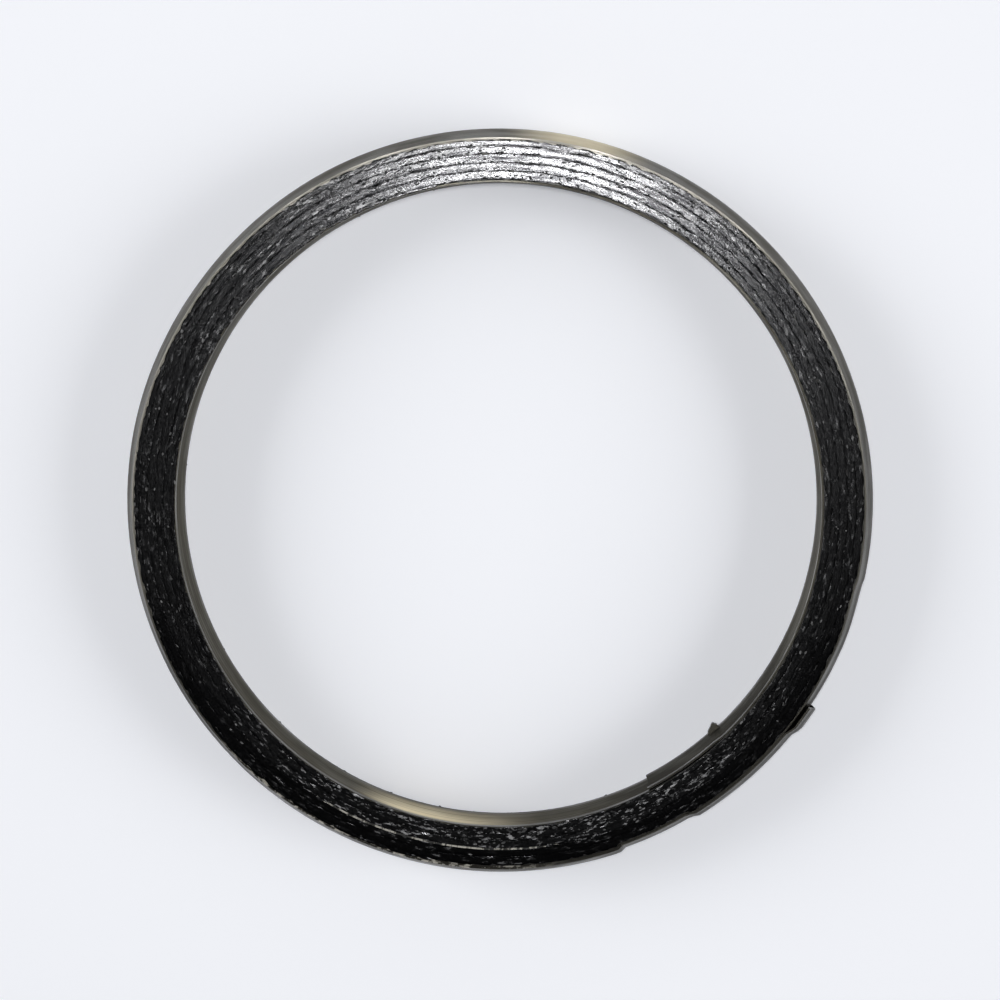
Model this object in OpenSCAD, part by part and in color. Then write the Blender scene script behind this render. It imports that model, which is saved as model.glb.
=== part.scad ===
// Spiral-wound exhaust gasket: a V-folded steel strip and a graphite tape, wound together into a flat ring.
// The ring lies on its lower sealing face, centred on the Z axis.

/* [Ring] */
// Diameter of the bore
bore_d = 65; // [40:0.5:120]
// Height between the two sealing faces
height = 7; // [6:0.1:12]

/* [Steel strip] */
// Thickness of the strip
strip_t = 0.2; // [0.16:0.02:0.3]
// Angle of the fold's two flanks from upright
flank_angle = 24; // [15:1:32]
// Bend radius along the crest of the fold
crest_r = 1.2; // [0.6:0.1:1.6]
// Height of the upright land along each edge
edge_land = 0.8; // [0.5:0.1:1]
// How far the strip's edges lie below the sealing faces
edge_recess = 0.15; // [0.05:0.05:0.4]
// Bare turns of strip round the bore
inner_turns = 2; // [1:1:4]
// Bare turns of strip round the rim
outer_turns = 2; // [1:1:4]

/* [Graphite filler] */
// Thickness of the filler tape
filler_t = 0.63; // [0.4:0.01:1]
// Turns of filler tape
filler_turns = 5; // [2:1:8]
// Angle over which the wedge at each end of the tape is welded steel instead
weld_angle = 90; // [45:1:120]

/* [Strip ends] */
// Direction of the line from which the half-turns are counted
winding_angle = 270; // [0:1:359]
// Angle from that line to the strip's inner end
start_angle = 28; // [5:1:170]
// Angle from that line to the root of the strip's tail
tail_angle = 51; // [5:1:150]
// Length of the straight tail that springs clear of the rim
tail_l = 3.3; // [1:0.1:8]
// Angle by which the tail is bent off the rim
tail_bend = 6; // [3:1:12]

/* [Hidden] */
$fn = 180;
steel = "#8a877c";
graphite = "#2c2d2f";

bore_r = bore_d / 2;
pitch = strip_t + filler_t;
mid = height / 2;
half_turn_angle = 180;
// Facets across the bend of the crest
crest_steps = 3;
// How far a cutting disc stands past the sealing faces
cut_past = 1;
// How far the tail's root reaches back into the turn that it ends, and how deep it starts there
tail_root = 0.5;
tail_sink = 0.02;
// How much narrower the tail is along each of its edges
tail_trim = 0.05;

// The winding is a chain of half-turns: bare ones, filled ones, then bare ones again
first_filled = 2 * inner_turns - 1;
last_filled = first_filled + 2 * filler_turns - 1;
last_turn = last_filled + 2 * outer_turns;
// Each stretch as its first half-turn and the one that follows it
stretches = [[1, first_filled], [first_filled, last_filled], [last_filled, last_turn]];

// The fold's outline: an upright land, a straight flank and a rounded crest
land_z = edge_recess + edge_land;
flank_z = mid - crest_r * sin(flank_angle);
flank_x = (flank_z - land_z) * tan(flank_angle);
crest_x = flank_x - crest_r * cos(flank_angle);

// Rounds a length to a thousandth, so that neighbouring half-turns meet exactly
function thousandth(x) = round(1000 * x) / 1000;

function back(list) = [for (i = [len(list) - 1 : -1 : 0]) list[i]];

// Inner radius of the strip where half-turn k begins
function turn_r(k) =
    bore_r
    + min(k, first_filled) * strip_t / 2
    + max(0, min(k, last_filled) - first_filled) * pitch / 2
    + max(0, k - last_filled) * strip_t / 2;

// Mean radius of half-turn k, and how far its centre lies off the axis
function mean_r(k) = (turn_r(k) + turn_r(k + 1)) / 2;
function centre_x(k) = (turn_r(k) - turn_r(k + 1)) / 2;

// The fold's outline at radius r, from inset above the lower face to inset below the upper one
function fold_line(r, inset) = [
    [r, inset],
    [r, land_z],
    for (i = [0 : crest_steps])
        let (a = flank_angle * (2 * i / crest_steps - 1))
            [r + thousandth(crest_x + crest_r * cos(a)), mid + crest_r * sin(a)],
    [r, height - land_z],
    [r, height - inset],
];

// Section of a tape between radii r_in and r_out, inset from the sealing faces
module tape_section(r_in, r_out, inset) {
    polygon(concat(fold_line(r_in, inset), back(fold_line(r_out, inset))));
}

// Section of half-turn k of the strip
module strip_section(k) {
    tape_section(mean_r(k), mean_r(k) + strip_t, edge_recess);
}

// Section of the filler between half-turn k and the strip one turn inside it
module filler_section(k) {
    tape_section(mean_r(k - 2) + strip_t, mean_r(k), 0);
}

// Section of a solid disc with a folded rim at radius r
module disc_section(r, inset) {
    polygon(concat([[0, inset]], fold_line(r, inset), [[0, height - inset]]));
}

// Places children about the centre of half-turn k
module at_turn(k) {
    rotate([0, 0, winding_angle + half_turn_angle * k])
        translate([centre_x(k), 0, 0])
            children();
}

// Revolves children along half-turn k, onwards from its start or backwards from its end
module revolve_turn(k, angle = half_turn_angle, backwards = false) {
    at_turn(k)
        mirror([backwards ? 1 : 0, 0, 0])
            rotate_extrude(angle = angle)
                children();
}

// The half-turns of one stretch: every second one lies about the same centre
module strip_stretch(stretch) {
    for (first = [stretch[0], stretch[0] + 1])
        revolve_turn(first)
            for (k = [first : 2 : stretch[1] - 1])
                strip_section(k);
}

// The strip's last stretch, left straight and bent so that it stands off the rim
module strip_tail() {
    r = mean_r(last_turn);
    at_turn(last_turn)
        rotate([0, 0, tail_angle])
            translate([r - tail_sink, -tail_root, 0])
                rotate([0, 0, -tail_bend])
                    translate([-r, tail_l + tail_root, 0])
                        rotate([90, 0, 0])
                            linear_extrude(tail_l + tail_root)
                                tape_section(r, r + strip_t, edge_recess + tail_trim);
}

// Wedge along half-turn k where the turn of strip inside it lies about another centre.
// It reaches overlap deep into both turns, and stops inset short of the sealing faces.
module wedge(k, angle, backwards, overlap, inset) {
    difference() {
        revolve_turn(k, angle, backwards)
            disc_section(mean_r(k) + overlap, inset);
        at_turn(k - 2)
            rotate_extrude()
                disc_section(mean_r(k - 2) + strip_t - overlap, inset - cut_past);
    }
}

module weld_wedge(k, backwards) {
    wedge(k, weld_angle, backwards, strip_t / 2, edge_recess);
}

module filler_wedge(k, angle = half_turn_angle, backwards = false) {
    wedge(k, angle, backwards, 0, 0);
}

// One continuous folded strip: bare turns at the bore, turns on filler, bare turns at the rim
module winding_strip() {
    color(steel) {
        revolve_turn(0, half_turn_angle - start_angle, backwards = true)
            strip_section(0);
        for (stretch = stretches)
            strip_stretch(stretch);
        revolve_turn(last_turn, tail_angle)
            strip_section(last_turn);
        strip_tail();
        weld_wedge(first_filled, backwards = false);
        weld_wedge(last_filled + 1, backwards = true);
    }
}

// One continuous graphite tape, as tall as the ring, between the strip's turns
module graphite_filler() {
    color(graphite) {
        filler_wedge(first_filled, half_turn_angle - weld_angle, backwards = true);
        filler_wedge(first_filled + 1);
        for (first = [first_filled + 2, first_filled + 3])
            revolve_turn(first)
                for (k = [first : 2 : last_filled - 1])
                    filler_section(k);
        filler_wedge(last_filled);
        filler_wedge(last_filled + 1, half_turn_angle - weld_angle);
    }
}

winding_strip();
graphite_filler();
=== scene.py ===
import math

import bpy
from mathutils import Matrix, Vector


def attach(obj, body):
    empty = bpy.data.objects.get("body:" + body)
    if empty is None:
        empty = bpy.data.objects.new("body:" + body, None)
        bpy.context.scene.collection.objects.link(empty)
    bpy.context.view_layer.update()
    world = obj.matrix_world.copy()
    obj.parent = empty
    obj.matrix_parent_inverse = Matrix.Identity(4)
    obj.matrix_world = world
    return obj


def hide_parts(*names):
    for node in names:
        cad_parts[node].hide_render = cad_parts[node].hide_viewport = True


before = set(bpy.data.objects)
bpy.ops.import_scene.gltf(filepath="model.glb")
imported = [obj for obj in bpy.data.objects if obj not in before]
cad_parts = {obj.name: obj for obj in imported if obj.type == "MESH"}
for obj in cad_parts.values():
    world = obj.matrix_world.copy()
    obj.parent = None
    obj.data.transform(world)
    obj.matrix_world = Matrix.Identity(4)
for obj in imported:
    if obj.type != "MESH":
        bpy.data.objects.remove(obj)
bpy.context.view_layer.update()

# Winding strip
# A stainless strip 0.2 mm thick, rolled to a V along its middle and wound on edge into a ring.
# Its first and last turns lie bare on each other; between them the graphite tape keeps the turns apart.

# Sizes in millimetres and angles in degrees, as in the part's source
mm = 0.001
bore_radius = 32.5
ring_height = 7.0
strip_thickness = 0.2
tape_thickness = 0.63
edge_recess = 0.15
edge_land = 0.8
flank_angle = math.radians(24)
crest_radius = 1.2
winding_angle = math.radians(270)
ring_middle = ring_height / 2
mean_radius = bore_radius + 2.3

# The winding is counted in half-turns from the winding angle
first_filled = 3
last_filled = 12
inner_end = 28 / 180
tail_root = 16 + 51 / 180
tail_span = 6.2 / 180
tail_lift = 0.42
tail_rise = (0.08, 0.42)
lap_span = 16 / 180
lap_gap = 0.13
lap_step = (-0.01, 0.005)
steps_per_half_turn = 200

# Dents of the outer turns: how deep they are at the rim, and where they start and end in degrees round it
flat_depth = 0.13
flat_span = (112.0, 172.0)
flat_blend = 30.0
knock_depth = 0.34
knock_start = (289.2, 290.2)
knock_end = (301.8, 302.3)
nick_depth = 0.12
nick_start = (338.0, 346.0)
nick_end = (347.5, 348.5)
dented_turns = (8.0, 14.0)

# One length of the upper edge, at the bottom of the ring, stands proud of the graphite
proud_turns = (7.8, 8.08)
proud_height = 0.2
proud_depth = 0.4

# The slit edges wander a little up and down: how far, how often in a half-turn, and how near the edge
edge_wander = 0.12
wander_rate = 9.0
wander_power = 6.0


def feed(tree, socket, value):
    """Links a socket to another one, or sets it to a plain value."""
    if isinstance(value, bpy.types.NodeSocket):
        tree.links.new(value, socket)
    else:
        socket.default_value = value


def put(tree, kind, inputs=None, **settings):
    """Adds a node with these settings, and feeds its named inputs."""
    node = tree.nodes.new(kind)
    for setting, value in settings.items():
        setattr(node, setting, value)
    for name, value in (inputs or {}).items():
        feed(tree, node.inputs[name], value)
    return node


def calc(tree, operation, *values):
    """One step of arithmetic on sockets and plain numbers."""
    node = put(tree, "ShaderNodeMath", operation=operation)
    for socket, value in zip(node.inputs, values):
        feed(tree, socket, value)
    return node.outputs[0]


def ramp(tree, value, low, high, start=0.0, end=1.0):
    """Goes smoothly from start to end as the value goes from low to high."""
    limits = {"Value": value, "From Min": low, "From Max": high, "To Min": start, "To Max": end}
    return put(tree, "ShaderNodeMapRange", limits, interpolation_type="SMOOTHSTEP").outputs["Result"]


def between(tree, value, rise, fall):
    """Goes smoothly from 0 to 1 over one span of the value, and back to 0 over another."""
    rising = ramp(tree, value, *rise)
    falling = ramp(tree, value, *fall, start=1.0, end=0.0)
    return calc(tree, "MULTIPLY", rising, falling)


def window(tree, value, span, blend):
    """Is 1 inside a span, and falls off smoothly to 0 at both of its ends."""
    start, end = span
    return between(tree, value, (start, start + blend), (end - blend, end))


def noise(tree, vector, scale, detail=2.0, roughness=0.5):
    """Smooth noise between 0 and 1 at a place."""
    values = {"Vector": vector, "Scale": scale, "Detail": detail, "Roughness": roughness}
    return put(tree, "ShaderNodeTexNoise", values).outputs["Fac"]


def vector_of(tree, x, y, z):
    return put(tree, "ShaderNodeCombineXYZ", {"X": x, "Y": y, "Z": z}).outputs["Vector"]


def new_tree(name, kind, inputs, outputs):
    """Makes a node tree, and returns it with the sockets that it is given and those that it fills."""
    tree = bpy.data.node_groups.new(name, kind)
    for label, (socket_kind, value) in inputs.items():
        socket = tree.interface.new_socket(label, in_out="INPUT", socket_type=socket_kind)
        if value is not None:
            socket.default_value = value
    for label, socket_kind in outputs.items():
        tree.interface.new_socket(label, in_out="OUTPUT", socket_type=socket_kind)
    given = tree.nodes.new("NodeGroupInput").outputs
    filled = tree.nodes.new("NodeGroupOutput").inputs
    return tree, given, filled


FLOAT = "NodeSocketFloat"
COUNT = "NodeSocketInt"
GEOMETRY = "NodeSocketGeometry"
OBJECT = "NodeSocketObject"
MATERIAL = "NodeSocketMaterial"


def make_radius_tree():
    """Radius and angle of the strip's inner side along the winding, with the ring's dents."""
    tree, given, filled = new_tree(
        "Winding radius",
        "GeometryNodeTree",
        {
            "Half turns": (FLOAT, 0.0),
            "Bore radius": (FLOAT, bore_radius),
            "Strip thickness": (FLOAT, strip_thickness),
            "Tape thickness": (FLOAT, tape_thickness),
            "First filled": (FLOAT, first_filled),
            "Last filled": (FLOAT, last_filled),
            "Flat depth": (FLOAT, flat_depth),
            "Knock depth": (FLOAT, knock_depth),
            "Nick depth": (FLOAT, nick_depth),
        },
        {"Radius": FLOAT, "Angle": FLOAT},
    )
    filled_span = calc(tree, "SUBTRACT", given["Last filled"], given["First filled"])

    def crossing_radius(count):
        past = calc(tree, "SUBTRACT", count, given["First filled"])
        taped = calc(tree, "MINIMUM", calc(tree, "MAXIMUM", past, 0.0), filled_span)
        steel = calc(tree, "MULTIPLY", count, given["Strip thickness"])
        graphite = calc(tree, "MULTIPLY", taped, given["Tape thickness"])
        return calc(tree, "MULTIPLY_ADD", calc(tree, "ADD", steel, graphite), 0.5, given["Bore radius"])

    # Between two crossings of the winding line the radius grows along half a cosine wave
    whole = calc(tree, "FLOOR", given["Half turns"])
    part = calc(tree, "MULTIPLY", calc(tree, "SUBTRACT", given["Half turns"], whole), math.pi)
    share = calc(tree, "MULTIPLY_ADD", calc(tree, "COSINE", part), -0.5, 0.5)
    here = crossing_radius(whole)
    growth = calc(tree, "SUBTRACT", crossing_radius(calc(tree, "ADD", whole, 1.0)), here)
    spiral = calc(tree, "MULTIPLY_ADD", growth, share, here)
    angle = calc(tree, "MULTIPLY_ADD", given["Half turns"], math.pi, winding_angle)

    # The outer turns are flat at the upper left, knocked in at the lower right and nicked above the tail
    around = calc(tree, "MULTIPLY", calc(tree, "FRACT", calc(tree, "DIVIDE", angle, math.tau)), 360.0)
    flat = calc(tree, "MULTIPLY", window(tree, around, flat_span, flat_blend), given["Flat depth"])
    knock = between(tree, around, knock_start, knock_end)
    nick = between(tree, around, nick_start, nick_end)
    dents = calc(tree, "MULTIPLY_ADD", knock, given["Knock depth"], flat)
    dents = calc(tree, "MULTIPLY_ADD", nick, given["Nick depth"], dents)
    depth = calc(tree, "MULTIPLY", dents, ramp(tree, given["Half turns"], *dented_turns))
    feed(tree, filled["Radius"], calc(tree, "SUBTRACT", spiral, depth))
    feed(tree, filled["Angle"], angle)
    return tree


def make_sweep_tree():
    """Sweeps a closed outline along the winding, and keeps where each point lies as attributes."""
    tree, given, filled = new_tree(
        "Sweep along the winding",
        "GeometryNodeTree",
        {"Outline": (OBJECT, None), "Start": (FLOAT, 0.0), "End": (FLOAT, 1.0), "Points": (COUNT, 90)},
        {"Mesh": GEOMETRY},
    )
    line = put(tree, "GeometryNodeMeshLine", {"Count": given["Points"], "Offset": (1.0, 0.0, 0.0)})
    path = put(tree, "GeometryNodeMeshToCurve", {"Mesh": line.outputs["Mesh"]}).outputs["Curve"]
    index = put(tree, "GeometryNodeInputIndex").outputs["Index"]
    share = calc(tree, "DIVIDE", index, calc(tree, "SUBTRACT", given["Points"], 1.0))
    length = calc(tree, "SUBTRACT", given["End"], given["Start"])
    half_turns = calc(tree, "MULTIPLY_ADD", share, length, given["Start"])
    stored = {"Geometry": path, "Name": "half_turns", "Value": half_turns}
    path = put(tree, "GeometryNodeStoreNamedAttribute", stored).outputs["Geometry"]

    section = put(tree, "GeometryNodeObjectInfo", {"Object": given["Outline"]}).outputs["Geometry"]
    place = put(tree, "GeometryNodeInputPosition").outputs["Position"]
    parts = put(tree, "ShaderNodeSeparateXYZ", {"Vector": place}).outputs
    for name, axis in [("across", "X"), ("height", "Y"), ("fold", "Z")]:
        stored = {"Geometry": section, "Name": name, "Value": parts[axis]}
        section = put(tree, "GeometryNodeStoreNamedAttribute", stored).outputs["Geometry"]
    swept = {"Curve": path, "Profile Curve": section, "Fill Caps": True}
    straight = put(tree, "GeometryNodeCurveToMesh", swept).outputs["Mesh"]
    # Setting the straight sweep round the ring turns it inside out, so its faces are turned beforehand
    feed(tree, filled["Mesh"], put(tree, "GeometryNodeFlipFaces", {"Mesh": straight}).outputs["Mesh"])
    return tree


radius_tree = make_radius_tree()
sweep_tree = make_sweep_tree()


def radius_at(tree, half_turns):
    group = put(tree, "GeometryNodeGroup", node_tree=radius_tree)
    feed(tree, group.inputs["Half turns"], half_turns)
    return group.outputs["Radius"], group.outputs["Angle"]


def attribute(tree, name):
    """A value that the sweep left on each point."""
    return put(tree, "GeometryNodeInputNamedAttribute", {"Name": name}).outputs["Attribute"]


def set_round(tree, mesh, radius, angle, height):
    """Moves each point to its radius, angle and height, in metres."""
    x = calc(tree, "MULTIPLY", radius, calc(tree, "COSINE", angle))
    y = calc(tree, "MULTIPLY", radius, calc(tree, "SINE", angle))
    place = put(tree, "ShaderNodeVectorMath", operation="SCALE")
    feed(tree, place.inputs["Vector"], vector_of(tree, x, y, height))
    feed(tree, place.inputs["Scale"], mm)
    moved = {"Geometry": mesh, "Position": place.outputs["Vector"]}
    return put(tree, "GeometryNodeSetPosition", moved).outputs["Geometry"]


def close_tree(tree, mesh, material, filled, smooth=True):
    """Ends a piece's tree with real geometry in its material, shaded smooth but for its hard corners."""
    shaded = put(tree, "GeometryNodeSetShadeSmooth", {"Geometry": mesh, "Shade Smooth": smooth}).outputs[0]
    bend = put(tree, "GeometryNodeInputMeshEdgeAngle").outputs["Unsigned Angle"]
    hard = calc(tree, "GREATER_THAN", bend, math.radians(35))
    corners = {"Geometry": shaded, "Selection": hard, "Shade Smooth": False}
    creased = put(tree, "GeometryNodeSetShadeSmooth", corners, domain="EDGE")
    real = put(tree, "GeometryNodeRealizeInstances", {"Geometry": creased.outputs[0]})
    coated = put(tree, "GeometryNodeSetMaterial", {"Geometry": real.outputs[0], "Material": material})
    feed(tree, filled["Mesh"], coated.outputs[0])


def fold_offset(height):
    """How far the fold stands outwards at a height."""
    off_middle = abs(height - ring_middle)
    crest_half = crest_radius * math.sin(flank_angle)
    land_half = ring_middle - edge_recess - edge_land
    if off_middle >= land_half:
        return 0.0
    flank_out = (land_half - crest_half) * math.tan(flank_angle)
    if off_middle >= crest_half:
        return (land_half - off_middle) * math.tan(flank_angle)
    return flank_out + math.sqrt(crest_radius**2 - off_middle**2) - crest_radius * math.cos(flank_angle)


def make_outline(name, points):
    """A closed outline as a curve: share across the tape, height, and the fold's offset."""
    curve = bpy.data.curves.new(name, "CURVE")
    curve.dimensions = "3D"
    spline = curve.splines.new("POLY")
    spline.points.add(len(points) - 1)
    for point, (across, height) in zip(spline.points, points):
        point.co = (across, height, fold_offset(height), 1.0)
    spline.use_cyclic_u = True
    outline = bpy.data.objects.new(name, curve)
    bpy.context.scene.collection.objects.link(outline)
    return outline


def make_piece(name, tree, values):
    """Runs a tree with these inputs, and keeps its result as a plain mesh."""
    piece = bpy.data.objects.new(name, bpy.data.meshes.new(name))
    bpy.context.scene.collection.objects.link(piece)
    modifier = piece.modifiers.new(name, "NODES")
    modifier.node_group = tree
    for socket in tree.interface.items_tree:
        if socket.in_out == "INPUT" and socket.name in values:
            modifier[socket.identifier] = values[socket.name]
    depsgraph = bpy.context.evaluated_depsgraph_get()
    made = bpy.data.meshes.new_from_object(piece.evaluated_get(depsgraph), depsgraph=depsgraph)
    piece.modifiers.clear()
    piece.data = made
    return piece


def make_strip_tree():
    """The folded strip, with its inner end leaning into the bore and its tail off the rim."""
    tree, given, filled = new_tree(
        "Winding strip",
        "GeometryNodeTree",
        {
            "Outline": (OBJECT, None),
            "Inner end": (FLOAT, inner_end),
            "Tail root": (FLOAT, tail_root),
            "Tail span": (FLOAT, tail_span),
            "Tail lift": (FLOAT, tail_lift),
            "Lap span": (FLOAT, lap_span),
            "Lap gap": (FLOAT, lap_gap),
            "Strip thickness": (FLOAT, strip_thickness),
            "Points": (COUNT, 90),
            "Material": (MATERIAL, None),
        },
        {"Mesh": GEOMETRY},
    )
    tip = calc(tree, "ADD", given["Tail root"], given["Tail span"])
    sweep = put(tree, "GeometryNodeGroup", node_tree=sweep_tree)
    for name, value in [("Outline", given["Outline"]), ("Start", given["Inner end"]), ("End", tip)]:
        feed(tree, sweep.inputs[name], value)
    feed(tree, sweep.inputs["Points"], given["Points"])
    half_turns = attribute(tree, "half_turns")
    radius, angle = radius_at(tree, half_turns)

    # The tail steps off the rim soon after its root, and then runs on beside it
    past_root = calc(tree, "SUBTRACT", half_turns, given["Tail root"])
    rise = ramp(tree, calc(tree, "DIVIDE", past_root, given["Tail span"]), *tail_rise)
    lifted = calc(tree, "MULTIPLY_ADD", rise, given["Tail lift"], radius)

    # The inner end leans into the bore along its lap
    lap_end = calc(tree, "ADD", given["Inner end"], given["Lap span"])
    past_lap = calc(tree, "SUBTRACT", half_turns, lap_end)
    lean = calc(tree, "MULTIPLY", ramp(tree, past_lap, *lap_step, start=1.0, end=0.0), given["Lap gap"])
    leaned = calc(tree, "SUBTRACT", lifted, lean)
    folded = calc(tree, "ADD", leaned, attribute(tree, "fold"))
    outer = calc(tree, "MULTIPLY_ADD", attribute(tree, "across"), given["Strip thickness"], folded)

    # The slit edges wander, and one length of them is raised
    along = vector_of(tree, calc(tree, "MULTIPLY", half_turns, wander_rate), 0.0, 0.0)
    wander = calc(tree, "MULTIPLY", calc(tree, "SUBTRACT", noise(tree, along, 1.0), 0.5), edge_wander)
    from_middle = calc(tree, "SUBTRACT", attribute(tree, "height"), ring_middle)
    off_middle = calc(tree, "DIVIDE", from_middle, ring_middle)
    near_edge = calc(tree, "POWER", calc(tree, "ABSOLUTE", off_middle), wander_power)
    bend = calc(tree, "MULTIPLY", wander, near_edge)
    top = ramp(tree, attribute(tree, "height"), ring_height - proud_depth, ring_height - edge_recess)
    raised = calc(tree, "MULTIPLY", top, proud_height)
    proud = calc(tree, "MULTIPLY", window(tree, half_turns, proud_turns, 0.05), raised)
    height = calc(tree, "ADD", calc(tree, "ADD", attribute(tree, "height"), bend), proud)
    mesh = set_round(tree, sweep.outputs["Mesh"], outer, angle, height)
    close_tree(tree, mesh, given["Material"], filled)
    return tree


def make_streak_group():
    """Streaks along the winding: a mask between two levels of a noise stretched along the turns."""
    tree, given, filled = new_tree(
        "Streaks along the winding",
        "ShaderNodeTree",
        {
            "Length": (FLOAT, 10.0),
            "Width": (FLOAT, 0.2),
            "Low": (FLOAT, 0.4),
            "High": (FLOAT, 0.6),
            "Shift": (FLOAT, 0.0),
        },
        {"Mask": FLOAT},
    )
    turns = put(tree, "ShaderNodeAttribute", attribute_name="half_turns").outputs["Fac"]
    travel = calc(tree, "MULTIPLY", turns, math.pi * mean_radius)
    place = put(tree, "ShaderNodeTexCoord").outputs["Object"]
    parts = put(tree, "ShaderNodeSeparateXYZ", {"Vector": place}).outputs
    squares = [calc(tree, "POWER", parts[axis], 2.0) for axis in "XY"]
    outward = calc(tree, "SQRT", calc(tree, "ADD", *squares))
    width = calc(tree, "MULTIPLY", given["Width"], mm)
    x = calc(tree, "ADD", calc(tree, "DIVIDE", travel, given["Length"]), given["Shift"])
    y = calc(tree, "DIVIDE", outward, width)
    z = calc(tree, "DIVIDE", parts["Z"], width)
    level = noise(tree, vector_of(tree, x, y, z), 1.0, detail=3.0, roughness=0.6)
    feed(tree, filled["Mask"], ramp(tree, level, given["Low"], given["High"]))
    return tree


streak_group = make_streak_group()


def streaks(tree, length, width, low, high, shift=0.0):
    """Places the streak group in a material with its own values."""
    values = {"Length": length, "Width": width, "Low": low, "High": high, "Shift": shift}
    return put(tree, "ShaderNodeGroup", values, node_tree=streak_group).outputs["Mask"]


def new_material(name):
    """A material with a lone Principled BSDF, returned with its tree and that shader."""
    material = bpy.data.materials.new(name)
    material.use_nodes = True
    tree = material.node_tree
    return material, tree, tree.nodes["Principled BSDF"]


def blend_colours(tree, share, first, second):
    """Mixes two colours, each a socket or three numbers."""
    mix = put(tree, "ShaderNodeMix", data_type="RGBA")
    feed(tree, mix.inputs["Factor"], share)
    for socket, colour in [(mix.inputs[6], first), (mix.inputs[7], second)]:
        feed(tree, socket, colour if isinstance(colour, bpy.types.NodeSocket) else (*colour, 1.0))
    return mix.outputs[2]


# The strip's finishes, and where highlights are painted on it, in half-turns
rolled_colours = [(0.058, 0.0545, 0.0435), (0.142, 0.135, 0.11)]
stain_colour = (0.06, 0.052, 0.036)
painted_highlight_colour = (0.92, 0.81, 0.56)
darkening_colour = (0.022, 0.021, 0.017)
cut_colour = (0.5, 0.48, 0.43)
smear_colour = (0.045, 0.045, 0.045)
stain_strength = 0.45
rolled_roughness = 0.3
stain_roughness = 0.2
cut_roughness = 0.12
drawn_depth = 0.02
bore_highlight_start = (1.845, 1.91)
bore_highlight_end = (1.92, 2.05)
bore_highlight_heights = (0.3, 6.9)
rim_glint_turns = (14.86, 15.0)
rim_glint_strength = 0.6

# Sides of the ring, as directions from its middle
top_side = (0.1, 0.99)
right_side = (0.94, -0.34)
lower_right = (0.66, -0.75)
lower_side = (0.0, -1.0)
lower_left = (-0.36, -0.93)


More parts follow.
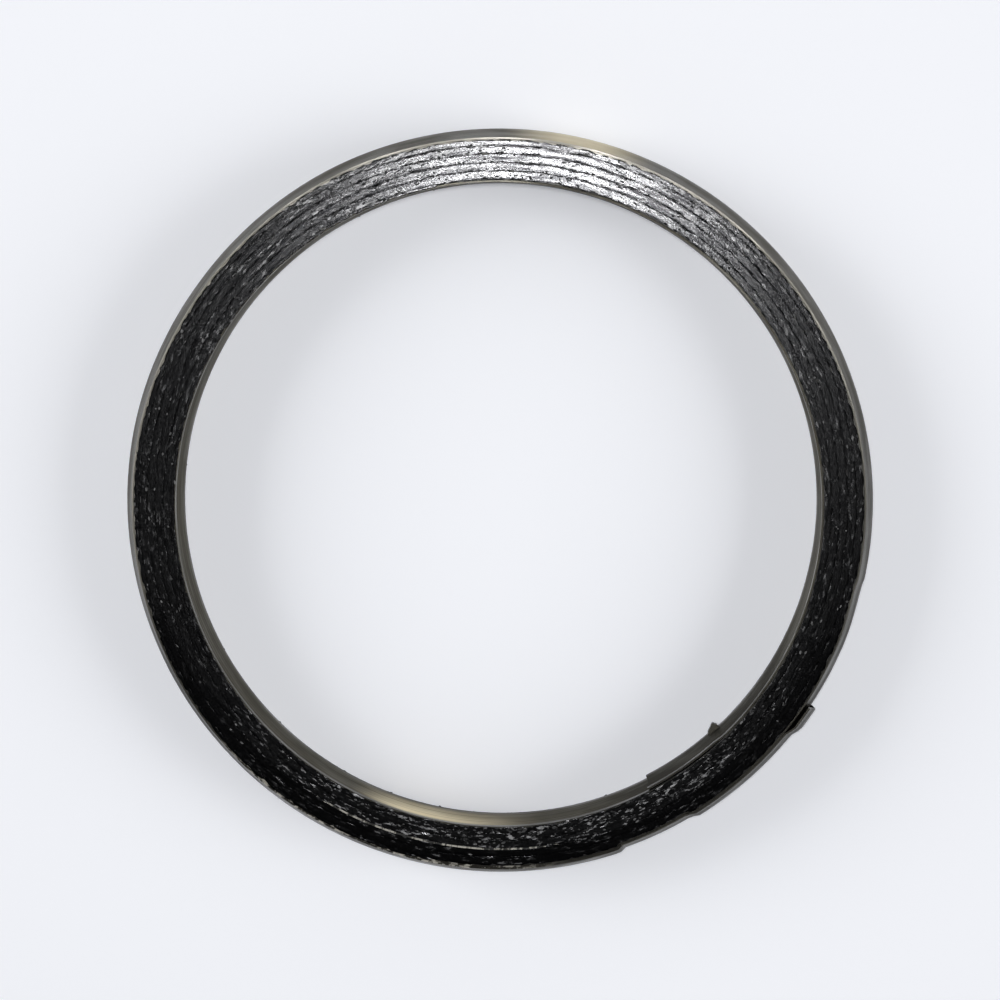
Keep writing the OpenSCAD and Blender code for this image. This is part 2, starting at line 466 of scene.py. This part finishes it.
def make_strip_steel():
    """Dull rolled stainless with a warm cast, drawn lines along it and graphite smeared on its edges."""
    material, tree, shader = new_material("strip_steel")
    lines = streaks(tree, length=40.0, width=0.12, low=0.3, high=0.7)
    stains = streaks(tree, length=7.0, width=1.2, low=0.35, high=0.65, shift=3.0)
    rolled = blend_colours(tree, lines, *rolled_colours)
    stained = blend_colours(tree, calc(tree, "MULTIPLY", stains, stain_strength), rolled, stain_colour)

    # Graphite is smeared near the edges, most of all between the turns of tape
    height = put(tree, "ShaderNodeAttribute", attribute_name="height").outputs["Fac"]
    off_middle = calc(tree, "ABSOLUTE", calc(tree, "SUBTRACT", height, ring_middle))
    taped_half = (last_filled - first_filled) / 2
    near_edge = ramp(tree, off_middle, ring_middle - 1.1, ring_middle - 0.25)
    rubbed = streaks(tree, length=3.0, width=0.3, low=0.38, high=0.62, shift=8.0)
    turns = put(tree, "ShaderNodeAttribute", attribute_name="half_turns").outputs["Fac"]
    from_taped = calc(tree, "ABSOLUTE", calc(tree, "SUBTRACT", turns, (first_filled + last_filled) / 2))
    between_tape = ramp(tree, from_taped, taped_half + 0.3, taped_half + 1.5, start=0.7, end=0.0)
    rubbing = calc(tree, "ADD", calc(tree, "MULTIPLY_ADD", rubbed, 0.3, 0.1), between_tape)
    smear = calc(tree, "MULTIPLY", near_edge, calc(tree, "MINIMUM", rubbing, 1.0))

    # Painted highlights: a golden painted reflection in the bore, and a painted glint at the top of the rim
    highlight_height = window(tree, height, bore_highlight_heights, 2.2)
    highlight_lines = calc(tree, "MULTIPLY", highlight_height, calc(tree, "MULTIPLY_ADD", lines, 0.5, 0.5))
    highlight_length = between(tree, turns, bore_highlight_start, bore_highlight_end)
    bore_highlight = calc(tree, "MULTIPLY", highlight_length, highlight_lines)
    rim_glint = calc(tree, "MULTIPLY", window(tree, turns, rim_glint_turns, 0.06), rim_glint_strength)
    painted_highlights = calc(tree, "MAXIMUM", bore_highlight, rim_glint)
    # The stained steel, with the painted highlights laid over it
    patchy = blend_colours(tree, painted_highlights, stained, painted_highlight_colour)

    # The steel is darker towards the lower right, and the rim also towards the lower half and the right
    # side
    place = put(tree, "ShaderNodeTexCoord").outputs["Object"]
    bearing = put(tree, "ShaderNodeVectorMath", {"Vector": place}, operation="NORMALIZE").outputs["Vector"]

    def towards(side, low, high):
        aside = put(tree, "ShaderNodeVectorMath", {0: bearing, 1: (*side, 0.0)}, operation="DOT_PRODUCT")
        return ramp(tree, aside.outputs["Value"], low, high)

    uneven = calc(tree, "MULTIPLY_ADD", stains, 0.35, 0.4)
    outer_turns = ramp(tree, turns, last_filled + 0.3, last_filled + 0.6)
    right_share = calc(tree, "MULTIPLY", towards(right_side, 0.6, 0.95), 0.8)
    lower_and_right = calc(tree, "MAXIMUM", towards(lower_side, -0.1, 0.45), right_share)
    rim_darkening = calc(tree, "MULTIPLY", lower_and_right, outer_turns)
    darker_sides = calc(tree, "MAXIMUM", towards(lower_right, 0.88, 0.99), rim_darkening)
    darkening = calc(tree, "MULTIPLY", darker_sides, uneven)
    darkened = blend_colours(tree, darkening, patchy, darkening_colour)

    # The cut edges of the bare outer turns are bright steel, broken into chips at the lower left; a painted
    # highlight makes them brighter at the top, and they are duller where the steel is darker.
    # So is the length of edge that stands proud, as a broken line.
    cut_edge = ramp(tree, off_middle, ring_middle - edge_recess - 0.1, ring_middle - edge_recess - 0.03)
    chips = streaks(tree, length=0.9, width=0.7, low=0.47, high=0.57, shift=14.0)
    chipped = towards(lower_left, 0.82, 0.95)
    top_highlight_share = calc(tree, "MULTIPLY_ADD", towards(top_side, 0.75, 0.97), 0.45, 0.55)
    whole = calc(tree, "MULTIPLY_ADD", darker_sides, -0.5, top_highlight_share)
    unbroken = calc(tree, "MULTIPLY", whole, calc(tree, "SUBTRACT", 1.0, chipped))
    rim_edge = calc(tree, "MULTIPLY", outer_turns, calc(tree, "MULTIPLY_ADD", chips, chipped, unbroken))
    breaks = streaks(tree, length=0.8, width=2.0, low=0.45, high=0.56, shift=17.0)
    dash = calc(tree, "MULTIPLY", window(tree, turns, proud_turns, 0.04), breaks)
    bare_edge_and_highlight = calc(tree, "MULTIPLY", calc(tree, "MAXIMUM", dash, rim_edge), cut_edge)
    cover = calc(tree, "MULTIPLY", smear, calc(tree, "SUBTRACT", 1.0, bare_edge_and_highlight))
    edged = blend_colours(tree, bare_edge_and_highlight, darkened, cut_colour)
    feed(tree, shader.inputs["Base Color"], blend_colours(tree, cover, edged, smear_colour))
    feed(tree, shader.inputs["Metallic"], calc(tree, "MULTIPLY_ADD", cover, -0.1, 1.0))
    dull = calc(tree, "MULTIPLY_ADD", stains, stain_roughness, rolled_roughness)
    feed(tree, shader.inputs["Roughness"], calc(tree, "MULTIPLY_ADD", bare_edge_and_highlight, cut_roughness, dull))
    drawn = put(tree, "ShaderNodeBump", {"Strength": 0.25, "Distance": drawn_depth * mm, "Height": lines})
    feed(tree, shader.inputs["Normal"], drawn.outputs["Normal"])
    return material


strip_steel = make_strip_steel()

edge_round = 0.03
lower_heights = [0.08, 0.7, 0.9, 2.4, 2.95]
strip_side = [edge_recess + edge_round]
strip_side += [edge_recess + rise for rise in lower_heights]
strip_side += [ring_height - height for height in reversed(strip_side)]
round_share = edge_round / strip_thickness
strip_top = ring_height - edge_recess
strip_points = [(1.0, height) for height in strip_side]
strip_points += [(1.0 - round_share, strip_top), (round_share, strip_top)]
strip_points += [(0.0, height) for height in reversed(strip_side)]
strip_points += [(round_share, edge_recess), (1.0 - round_share, edge_recess)]
strip_outline = make_outline("strip_outline", strip_points)

strip_length = tail_root + tail_span - inner_end
winding_strip = make_piece(
    "wound_strip",
    make_strip_tree(),
    {
        "Outline": strip_outline,
        "Points": int(strip_length * steps_per_half_turn),
        "Material": strip_steel,
    },
)
bpy.data.objects.remove(strip_outline)
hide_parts("winding_strip")
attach(winding_strip, "root")

# Torn tooth
# Where the lap at the strip's inner end stops, a scrap of its lower edge is torn and bent into the bore.
# It is part of the same strip, so it has the same steel.
tooth_angle = math.radians(313.6)
tooth_root = bore_radius - lap_gap
tooth_level = (edge_recess + 0.1, edge_recess + 0.9)
# How far its lower and upper side sink for each millimetre that it reaches into the bore
tooth_sag = (0.1, 0.4)
# Outline seen from above, as lengths along the wall and into the bore
tooth_outline = [(-1.3, -0.2), (0.32, -0.2), (0.36, 0.15), (0.24, 0.32)]
tooth_outline += [(0.18, 0.5), (0.02, 0.56), (-0.24, 0.42), (-0.8, 0.22)]


def make_tooth():
    """A ragged scrap of strip standing into the bore, as a closed prism that thins towards its tip."""
    along = Vector((-math.sin(tooth_angle), math.cos(tooth_angle), 0.0))
    inwards = Vector((-math.cos(tooth_angle), -math.sin(tooth_angle), 0.0))
    corners = []
    for level, sag in zip(tooth_level, tooth_sag):
        for travel, reach in tooth_outline:
            place = along * travel + inwards * (reach - tooth_root)
            corners.append((place + Vector((0.0, 0.0, level - sag * reach))) * mm)
    count = len(tooth_outline)
    sides = [(i, (i + 1) % count, (i + 1) % count + count, i + count) for i in range(count)]
    faces = [tuple(reversed(range(count))), tuple(range(count, 2 * count))] + sides
    mesh = bpy.data.meshes.new("torn_tooth")
    mesh.from_pydata(corners, [], faces)
    mesh.materials.append(strip_steel)
    tooth = bpy.data.objects.new("torn_tooth", mesh)
    bpy.context.scene.collection.objects.link(tooth)
    return tooth


torn_tooth = make_tooth()
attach(torn_tooth, "root")

# Graphite tape
# A tape of flexible graphite as tall as the ring, wound in with the strip so that it fills every gap.
# It stands a little proud of the strip's edges on both faces, where it is rough, flaky and rubbed shiny.
tape_steps = 340
tape_start = first_filled + 0.06
tape_end = last_filled + 1.94
face_roughness = 0.019
face_spread = 0.17
face_crown = 0.01
crown_power = 16.0
pressed_turns = (9.5, 9.8)
# How fine the face's relief is, along the winding and across it
lump_rates = (0.7, 2.5)
scale_rates = (2.2, 6.0)
scale_share = 0.35
bulge_rates = (0.9, 9.0)
across_top = [1.0, 0.97, 0.9, 0.75, 0.58, 0.42, 0.25, 0.1, 0.03, 0.0]
across_bottom = [0.0, 0.15, 0.5, 0.85, 1.0]


def make_tape_tree():
    """The tape between the strip's turns, with rough faces that bulge over the strip's edges."""
    tree, given, filled = new_tree(
        "Graphite tape",
        "GeometryNodeTree",
        {
            "Outline": (OBJECT, None),
            "Start": (FLOAT, tape_start),
            "End": (FLOAT, tape_end),
            "Strip thickness": (FLOAT, strip_thickness),
            "Face roughness": (FLOAT, face_roughness),
            "Face spread": (FLOAT, face_spread),
            "Face crown": (FLOAT, face_crown),
            "Points": (COUNT, 90),
            "Material": (MATERIAL, None),
        },
        {"Mesh": GEOMETRY},
    )
    sweep = put(tree, "GeometryNodeGroup", node_tree=sweep_tree)
    for name in ["Outline", "Start", "End", "Points"]:
        feed(tree, sweep.inputs[name], given[name])
    half_turns = attribute(tree, "half_turns")
    across = attribute(tree, "across")
    outer, angle = radius_at(tree, half_turns)
    turn_inside, _ = radius_at(tree, calc(tree, "SUBTRACT", half_turns, 2.0))
    inner = calc(tree, "ADD", turn_inside, given["Strip thickness"])
    thickness = calc(tree, "SUBTRACT", outer, inner)
    radius = calc(tree, "MULTIPLY_ADD", across, thickness, inner)

    # Only what stands above the strip's edges is rough: from the edge's level to the face
    off_middle = calc(tree, "SUBTRACT", attribute(tree, "height"), ring_middle)
    side = calc(tree, "SIGN", off_middle)
    proud = ramp(tree, calc(tree, "ABSOLUTE", off_middle), ring_middle - edge_recess, ring_middle - 0.03)
    travel = calc(tree, "MULTIPLY", half_turns, math.pi * mean_radius)

    def uneven(crosswise, rates):
        x = calc(tree, "MULTIPLY", travel, rates[0])
        y = calc(tree, "MULTIPLY", crosswise, rates[1])
        return noise(tree, vector_of(tree, x, y, side), 1.0)

    scaly = calc(tree, "SUBTRACT", uneven(radius, scale_rates), 0.5)
    lumpy = calc(tree, "SUBTRACT", uneven(radius, lump_rates), 0.5)
    relief = calc(tree, "MULTIPLY_ADD", scaly, scale_share, lumpy)
    # The outer two turns are pressed smooth along the ring's lower half
    outer_turns = ramp(tree, half_turns, *pressed_turns)
    lower_half = ramp(tree, calc(tree, "SINE", angle), -0.45, -0.1, start=1.0, end=0.0)
    pressed = calc(tree, "MULTIPLY", outer_turns, lower_half)
    loose = calc(tree, "MULTIPLY_ADD", pressed, -0.7, 1.0)
    rough = calc(tree, "MULTIPLY", calc(tree, "MULTIPLY", relief, loose), given["Face roughness"])
    off_line = calc(tree, "MULTIPLY_ADD", across, 2.0, -1.0)
    rounding = calc(tree, "POWER", calc(tree, "ABSOLUTE", off_line), crown_power)
    crown = calc(tree, "MULTIPLY", rounding, given["Face crown"])
    rise = calc(tree, "MULTIPLY", calc(tree, "SUBTRACT", rough, crown), proud)
    height = calc(tree, "MULTIPLY_ADD", rise, side, attribute(tree, "height"))

    # The rough top bulges sideways over the strip's edges, further in some places than in others
    bulge = ramp(tree, uneven(across, bulge_rates), 0.34, 0.56, start=-0.1)
    reach = calc(tree, "MULTIPLY", bulge, given["Face spread"])
    push = calc(tree, "MULTIPLY", calc(tree, "POWER", off_line, 3.0), reach)
    spread = calc(tree, "MULTIPLY_ADD", push, proud, radius)
    folded = calc(tree, "ADD", spread, attribute(tree, "fold"))
    mesh = set_round(tree, sweep.outputs["Mesh"], folded, angle, height)
    kept = {"Geometry": mesh, "Name": "pressed", "Value": pressed}
    mesh = put(tree, "GeometryNodeStoreNamedAttribute", kept).outputs["Geometry"]
    close_tree(tree, mesh, given["Material"], filled)
    return tree


graphite_colours = [(0.008, 0.008, 0.009), (0.07, 0.07, 0.072)]
scuff_colour = (0.3, 0.3, 0.305)
graphite_metallic = 0.95
scuff_metallic = 0.5
graphite_roughness = 0.232
band_polish = 0.05
scuff_roughness = 0.24
grain_depth = 0.005


def make_graphite():
    """Flexible graphite: near black and speckled, with a sheen along the winding and scales rubbed grey."""
    material, tree, shader = new_material("graphite")
    bands = streaks(tree, length=4.0, width=0.3, low=0.25, high=0.65)
    scales = streaks(tree, length=0.9, width=0.3, low=0.53, high=0.7, shift=5.0)
    patchy = streaks(tree, length=6.0, width=0.9, low=0.37, high=0.57, shift=11.0)
    pressed = put(tree, "ShaderNodeAttribute", attribute_name="pressed").outputs["Fac"]
    loose = calc(tree, "SUBTRACT", 1.0, pressed)
    place = put(tree, "ShaderNodeTexCoord").outputs["Object"]
    bearing = put(tree, "ShaderNodeVectorMath", {"Vector": place}, operation="NORMALIZE").outputs["Vector"]
    towards_top = put(tree, "ShaderNodeSeparateXYZ", {"Vector": bearing}).outputs["Y"]
    upright = calc(tree, "ABSOLUTE", towards_top)
    # It is rubbed most at the top and bottom of the ring, and least where it is pressed smooth
    at_ends = ramp(tree, upright, 0.5, 1.0, start=0.35)
    at_bottom = ramp(tree, towards_top, -0.95, -0.6, start=1.7)
    handled = calc(tree, "MULTIPLY", at_ends, at_bottom)
    exposed = calc(tree, "MULTIPLY", handled, calc(tree, "MULTIPLY_ADD", pressed, -0.65, 1.0))
    rubbed = calc(tree, "MULTIPLY", calc(tree, "MULTIPLY", scales, patchy), exposed)
    scuffs = calc(tree, "MINIMUM", rubbed, 1.0)
    across = put(tree, "ShaderNodeAttribute", attribute_name="across").outputs["Fac"]
    off_line = calc(tree, "ABSOLUTE", calc(tree, "MULTIPLY_ADD", across, 2.0, -1.0))
    # Painted shade: each turn of tape is darker towards its two edges, beside the grooves between the turns
    groove_shade = ramp(tree, off_line, 0.45, 0.98, start=1.0, end=0.4)
    grain = streaks(tree, length=0.2, width=0.13, low=0.34, high=0.66, shift=2.0)
    grain_and_groove_shade = calc(tree, "MULTIPLY", groove_shade, calc(tree, "MULTIPLY_ADD", grain, 1.6, 0.15))
    bands_and_groove_shade = calc(tree, "MULTIPLY", bands, grain_and_groove_shade)
    lit = calc(tree, "MULTIPLY", bands_and_groove_shade, calc(tree, "MULTIPLY_ADD", loose, 0.7, 0.3))
    body = blend_colours(tree, lit, *graphite_colours)
    feed(tree, shader.inputs["Base Color"], blend_colours(tree, scuffs, body, scuff_colour))
    less_metallic = scuff_metallic - graphite_metallic
    metallic = calc(tree, "MULTIPLY_ADD", scuffs, less_metallic, graphite_metallic)
    feed(tree, shader.inputs["Metallic"], metallic)
    smooth = calc(tree, "MULTIPLY_ADD", bands, -band_polish, graphite_roughness)
    feed(tree, shader.inputs["Roughness"], calc(tree, "MULTIPLY_ADD", scuffs, scuff_roughness, smooth))
    flaky = put(tree, "ShaderNodeBump", {"Strength": 0.4, "Distance": grain_depth * mm, "Height": grain})
    feed(tree, shader.inputs["Normal"], flaky.outputs["Normal"])
    return material


graphite = make_graphite()

tape_side = [0.2, 0.95, ring_middle, ring_height - 0.95, ring_height - 0.2]
tape_points = [(1.0, height) for height in tape_side]
tape_points += [(across, ring_height) for across in across_top]
tape_points += [(0.0, height) for height in reversed(tape_side)]
tape_points += [(across, 0.0) for across in across_bottom]
tape_outline = make_outline("tape_outline", tape_points)
graphite_tape = make_piece(
    "wound_tape",
    make_tape_tree(),
    {
        "Outline": tape_outline,
        "Points": int((tape_end - tape_start) * tape_steps),
        "Material": graphite,
    },
)
bpy.data.objects.remove(tape_outline)
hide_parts("graphite_filler")
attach(graphite_tape, "root")

# Graphite flakes
# Small scales of graphite that the slitting and winding lifted from the tape's two faces.
# They lie along the winding, tilted a little each way, and catch the light one by one.
flake_density = 4.2e6
flake_length = (0.08, 0.3)
flake_width = (0.045, 0.12)
flake_tilt = 0.35
flake_turn = 0.35
flake_thickness = 0.03
flake_seed = 7
dull_colours = [(0.01, 0.01, 0.01), (0.04, 0.04, 0.041)]
lustre_colour = (0.145, 0.145, 0.145)
cluster_rate = 450.0
speckle_rate = 9000.0


def make_flake_tree():
    """Thin six-sided scales scattered over the tape's upper and lower faces."""
    tree, given, filled = new_tree(
        "Graphite flakes",
        "GeometryNodeTree",
        {
            "Tape": (OBJECT, None),
            "Density": (FLOAT, flake_density),
            "Shortest": (FLOAT, flake_length[0]),
            "Longest": (FLOAT, flake_length[1]),
            "Narrowest": (FLOAT, flake_width[0]),
            "Widest": (FLOAT, flake_width[1]),
            "Thickness": (FLOAT, flake_thickness),
            "Tilt": (FLOAT, flake_tilt),
            "Turn": (FLOAT, flake_turn),
            "Seed": (COUNT, flake_seed),
            "Material": (MATERIAL, None),
        },
        {"Mesh": GEOMETRY},
    )

    def chance(low, high, offset):
        node = put(tree, "FunctionNodeRandomValue", data_type="FLOAT")
        feed(tree, node.inputs[2], low)
        feed(tree, node.inputs[3], high)
        feed(tree, node.inputs["Seed"], calc(tree, "ADD", given["Seed"], offset))
        return node.outputs[1]

    tape = put(tree, "GeometryNodeObjectInfo", {"Object": given["Tape"]}).outputs["Geometry"]
    facing = put(tree, "GeometryNodeInputNormal").outputs["Normal"]
    upright = put(tree, "ShaderNodeSeparateXYZ", {"Vector": facing}).outputs["Z"]
    on_face = calc(tree, "GREATER_THAN", calc(tree, "ABSOLUTE", upright), 0.6)
    scatter = put(tree, "GeometryNodeDistributePointsOnFaces", {"Mesh": tape, "Selection": on_face})
    loose = calc(tree, "MULTIPLY_ADD", attribute(tree, "pressed"), -0.95, 1.0)
    spot = put(tree, "GeometryNodeInputPosition").outputs["Position"]
    bearing = put(tree, "ShaderNodeVectorMath", {"Vector": spot}, operation="NORMALIZE").outputs["Vector"]
    towards_top = put(tree, "ShaderNodeSeparateXYZ", {"Vector": bearing}).outputs["Y"]
    at_ends = calc(tree, "ABSOLUTE", towards_top)
    cluster = ramp(tree, noise(tree, spot, cluster_rate), 0.38, 0.62, start=0.1)
    share = calc(tree, "MULTIPLY", ramp(tree, at_ends, 0.4, 1.0, start=0.28), cluster)
    density = calc(tree, "MULTIPLY", given["Density"], calc(tree, "MULTIPLY", share, loose))
    feed(tree, scatter.inputs["Density"], density)
    feed(tree, scatter.inputs["Seed"], given["Seed"])

    place = put(tree, "GeometryNodeInputPosition").outputs["Position"]
    parts = put(tree, "ShaderNodeSeparateXYZ", {"Vector": place}).outputs
    tangent = calc(tree, "ADD", calc(tree, "ARCTAN2", parts["Y"], parts["X"]), math.pi / 2)
    turn = calc(tree, "MULTIPLY_ADD", given["Turn"], chance(-1.0, 1.0, 1), tangent)
    tilt_x = calc(tree, "MULTIPLY", given["Tilt"], chance(-1.0, 1.0, 2))
    tilt_y = calc(tree, "MULTIPLY", given["Tilt"], chance(-1.0, 1.0, 3))
    lie = put(tree, "FunctionNodeEulerToRotation", {"Euler": vector_of(tree, tilt_x, tilt_y, turn)})
    size = put(tree, "ShaderNodeVectorMath", operation="SCALE")
    length = chance(given["Shortest"], given["Longest"], 4)
    width = chance(given["Narrowest"], given["Widest"], 5)
    feed(tree, size.inputs["Vector"], vector_of(tree, length, width, given["Thickness"]))
    feed(tree, size.inputs["Scale"], mm)

    scale_shape = {"Vertices": 6, "Radius Top": 0.7, "Radius Bottom": 1.0, "Depth": 1.0}
    flake = put(tree, "GeometryNodeMeshCone", scale_shape).outputs["Mesh"]
    placed = {"Points": scatter.outputs["Points"], "Instance": flake}
    placed.update({"Rotation": lie.outputs["Rotation"], "Scale": size.outputs["Vector"]})
    flakes = put(tree, "GeometryNodeInstanceOnPoints", placed).outputs["Instances"]
    kept = {"Geometry": flakes, "Name": "lustre", "Value": chance(0.0, 1.0, 6)}
    lustre = put(tree, "GeometryNodeStoreNamedAttribute", kept, domain="INSTANCE")
    close_tree(tree, lustre.outputs["Geometry"], given["Material"], filled, smooth=False)
    return tree


def make_flake_graphite():
    """Loose graphite scales: some dull, some with the silvery lustre of a split crystal."""
    material, tree, shader = new_material("graphite_flake")
    lustre = put(tree, "ShaderNodeAttribute", attribute_name="lustre").outputs["Fac"]
    bright = ramp(tree, lustre, 0.45, 0.95)
    place = put(tree, "ShaderNodeTexCoord").outputs["Object"]
    speckle = noise(tree, place, speckle_rate)
    dull = blend_colours(tree, speckle, *dull_colours)
    feed(tree, shader.inputs["Base Color"], blend_colours(tree, bright, dull, lustre_colour))
    feed(tree, shader.inputs["Metallic"], calc(tree, "MULTIPLY_ADD", bright, 0.3, 0.4))
    feed(tree, shader.inputs["Roughness"], calc(tree, "MULTIPLY_ADD", speckle, 0.25, 0.4))
    return material


flake_graphite = make_flake_graphite()
graphite_flakes = make_piece(
    "graphite_flakes",
    make_flake_tree(),
    {"Tape": graphite_tape, "Material": flake_graphite},
)
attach(graphite_flakes, "root")

# Studio
# A pale floor under the ring, a large softbox on each side, and a small lamp close above the camera.
# The camera looks almost straight down, as in the photograph.
floor_colour = (0.86, 0.87, 0.9, 1.0)
floor_glow_colour = (0.9, 0.92, 1.0, 1.0)
floor_glow = 0.16
floor_roughness = 0.9
floor_reach = 1500.0
floor_opening = (bore_radius + 0.25, bore_radius + 4.5)
floor_spokes = 180
wall_colour = (0.94, 0.96, 1.0, 1.0)
wall_glow = 0.5
ceiling_glow = 0.03
wall_to_ceiling = (0.2, 0.85)


def make_floor():
    """A pale matt floor, seen from above only, that shows almost white and keeps the ring's shadow."""
    material, tree, shader = new_material("pale_floor")
    shader.inputs["Base Color"].default_value = floor_colour
    shader.inputs["Roughness"].default_value = floor_roughness
    shader.inputs["Specular IOR Level"].default_value = 0.0
    rays = put(tree, "ShaderNodeLightPath").outputs
    mirrored = calc(tree, "MAXIMUM", rays["Is Glossy Ray"], rays["Is Transmission Ray"])
    seen = calc(tree, "MAXIMUM", rays["Is Camera Ray"], mirrored)
    shader.inputs["Emission Color"].default_value = floor_glow_colour
    feed(tree, shader.inputs["Emission Strength"], calc(tree, "MULTIPLY", seen, floor_glow))
    clear = put(tree, "ShaderNodeBsdfTransparent")
    below = put(tree, "ShaderNodeNewGeometry").outputs["Backfacing"]
    mixed = put(tree, "ShaderNodeMixShader")
    for socket, value in zip(mixed.inputs, [below, shader.outputs["BSDF"], clear.outputs["BSDF"]]):
        feed(tree, socket, value)
    feed(tree, tree.nodes["Material Output"].inputs["Surface"], mixed.outputs[0])

    # It is open under the ring, which hides the opening, so that light reaches the ring's lower face
    turns = [math.tau * spoke / floor_spokes for spoke in range(floor_spokes)]
    circles = []
    for radius in [*floor_opening, floor_reach]:
        circles += [(radius * mm * math.cos(turn), radius * mm * math.sin(turn), 0.0) for turn in turns]
    near = floor_spokes
    far = 2 * floor_spokes
    faces = [tuple(range(floor_spokes))]
    for spoke in range(floor_spokes):
        after = (spoke + 1) % floor_spokes
        faces.append((near + spoke, far + spoke, far + after, near + after))
    mesh = bpy.data.meshes.new("floor")
    mesh.from_pydata(circles, [], faces)
    mesh.materials.append(material)
    floor = bpy.data.objects.new("floor", mesh)
    bpy.context.scene.collection.objects.link(floor)


def hang_softbox(name, place, target, size, power):
    """A square softbox at a place, turned to face a target, all in metres."""
    lamp = bpy.data.lights.new(name, "AREA")
    lamp.shape = "SQUARE"
    lamp.size = size
    lamp.energy = power
    softbox = bpy.data.objects.new(name, lamp)
    softbox.location = place
    softbox.rotation_euler = (Vector(target) - Vector(place)).to_track_quat("-Z", "Y").to_euler()
    bpy.context.scene.collection.objects.link(softbox)


def make_world():
    """A studio with pale walls and a dark ceiling."""
    world = bpy.data.worlds.new("studio")
    world.use_nodes = True
    tree = world.node_tree
    ray = put(tree, "ShaderNodeTexCoord").outputs["Generated"]
    upwards = put(tree, "ShaderNodeSeparateXYZ", {"Vector": ray}).outputs["Z"]
    strength = ramp(tree, upwards, *wall_to_ceiling, start=wall_glow, end=ceiling_glow)
    feed(tree, tree.nodes["Background"].inputs["Strength"], strength)
    tree.nodes["Background"].inputs["Color"].default_value = wall_colour
    bpy.context.scene.world = world


make_floor()
make_world()
ring_centre = Vector((0.0, 0.0, ring_middle * mm))
key_place = (0.001, 0.043, 0.33)
key_size = 0.022
key_power = 0.31
left_place = (-0.75, 0.2, 0.4)
right_place = (0.75, -0.1, 0.4)
side_size = 0.5
side_power = 3.9
hang_softbox("key", key_place, ring_centre, key_size, key_power)
hang_softbox("left", left_place, ring_centre, side_size, side_power)
hang_softbox("right", right_place, ring_centre, side_size, side_power)

camera_distance = 0.27
camera_tilt = math.radians(6.1)
camera_side = math.radians(72)
lens = 95.3
frame_shift = (0.001, 0.0045)
sight = Vector((
    math.sin(camera_tilt) * math.cos(camera_side),
    math.sin(camera_tilt) * math.sin(camera_side),
    math.cos(camera_tilt),
))
picture_right = Vector((0.0, 1.0, 0.0)).cross(sight).normalized()
picture_axes = Matrix((picture_right, sight.cross(picture_right), sight)).transposed()
camera = bpy.data.objects.new("camera", bpy.data.cameras.new("camera"))
camera.location = ring_centre + sight * camera_distance
camera.rotation_euler = picture_axes.to_euler()
camera.data.lens = lens
camera.data.shift_x, camera.data.shift_y = frame_shift
camera.data.clip_start = 0.005
bpy.context.scene.collection.objects.link(camera)
bpy.context.scene.camera = camera
bpy.context.scene.view_settings.view_transform = "Standard"
